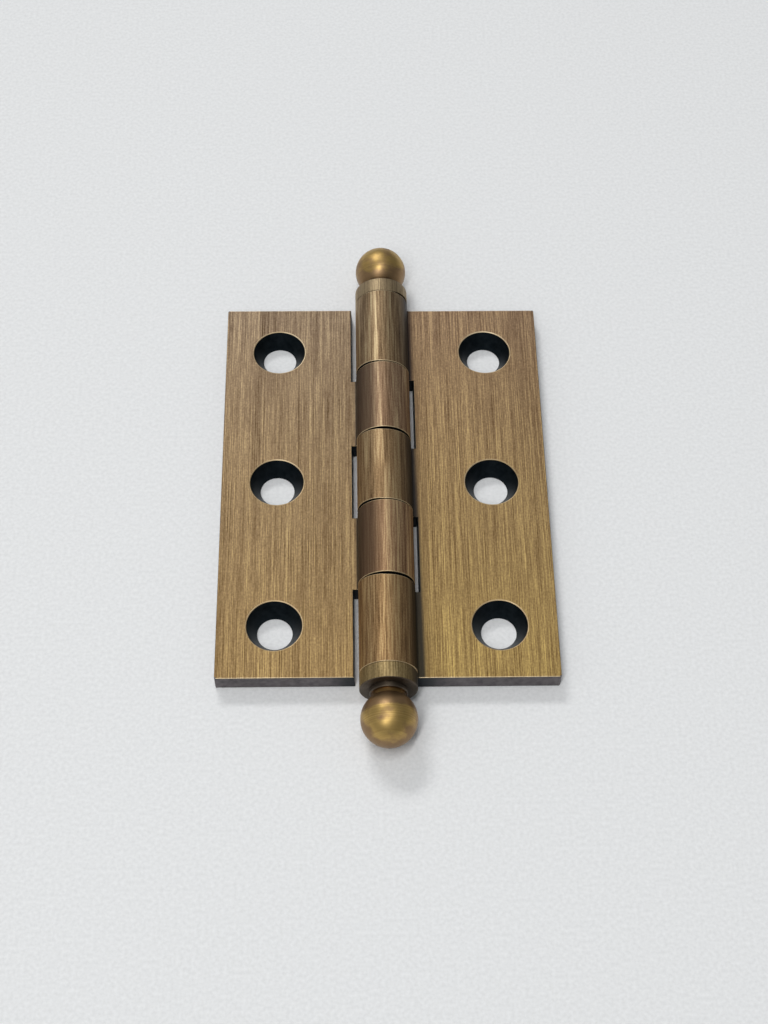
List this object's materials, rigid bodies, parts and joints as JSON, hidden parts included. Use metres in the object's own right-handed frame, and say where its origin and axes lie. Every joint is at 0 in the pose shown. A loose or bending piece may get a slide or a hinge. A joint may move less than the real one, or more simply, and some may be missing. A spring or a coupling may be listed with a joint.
{
  "type": "ball tip butt hinge",
  "caption": "Solid butt hinge: flat countersunk leaves with interlocking knuckles on a captive pin that ends in collared ball tips, for hanging a door on its frame.",
  "frame": {"origin": "on the plane of the leaves' back faces, under the middle of the barrel, with the hinge open flat", "axes": "+X across the pin towards the frame leaf, +Y along the pin towards its top end, +Z out of the countersunk faces"},
  "size_m": [0.0476, 0.0852, 0.008],
  "materials": {
    "leaf_brass": "antique brass, brushed along the pin, dark in the recesses",
    "collar_brass": "antique brass, brushed along the pin",
    "ball_brass": "antique brass, turned and polished",
    "pin_steel": "bright drawn"
  },
  "bodies": {
    "frame_leaf": {"frame_leaf": "leaf_brass"},
    "door_leaf": {"door_leaf": "leaf_brass"},
    "pin": {"hinge_pin": "pin_steel", "top_collar": "collar_brass", "bottom_collar": "collar_brass", "top_ball_tip": "ball_brass", "bottom_ball_tip": "ball_brass"}
  },
  "joints": [
    {"name": "leaf_swing", "type": "hinge", "parent": "frame_leaf", "child": "door_leaf", "pos_m": [0, 0, 0.004], "axis": [0, 1, 0], "range_deg": [-96, 185]},
    {"name": "pin_spin", "type": "hinge", "parent": "frame_leaf", "child": "pin", "pos_m": [0, 0, 0.004], "axis": [0, 1, 0], "continuous": true}
  ]
}
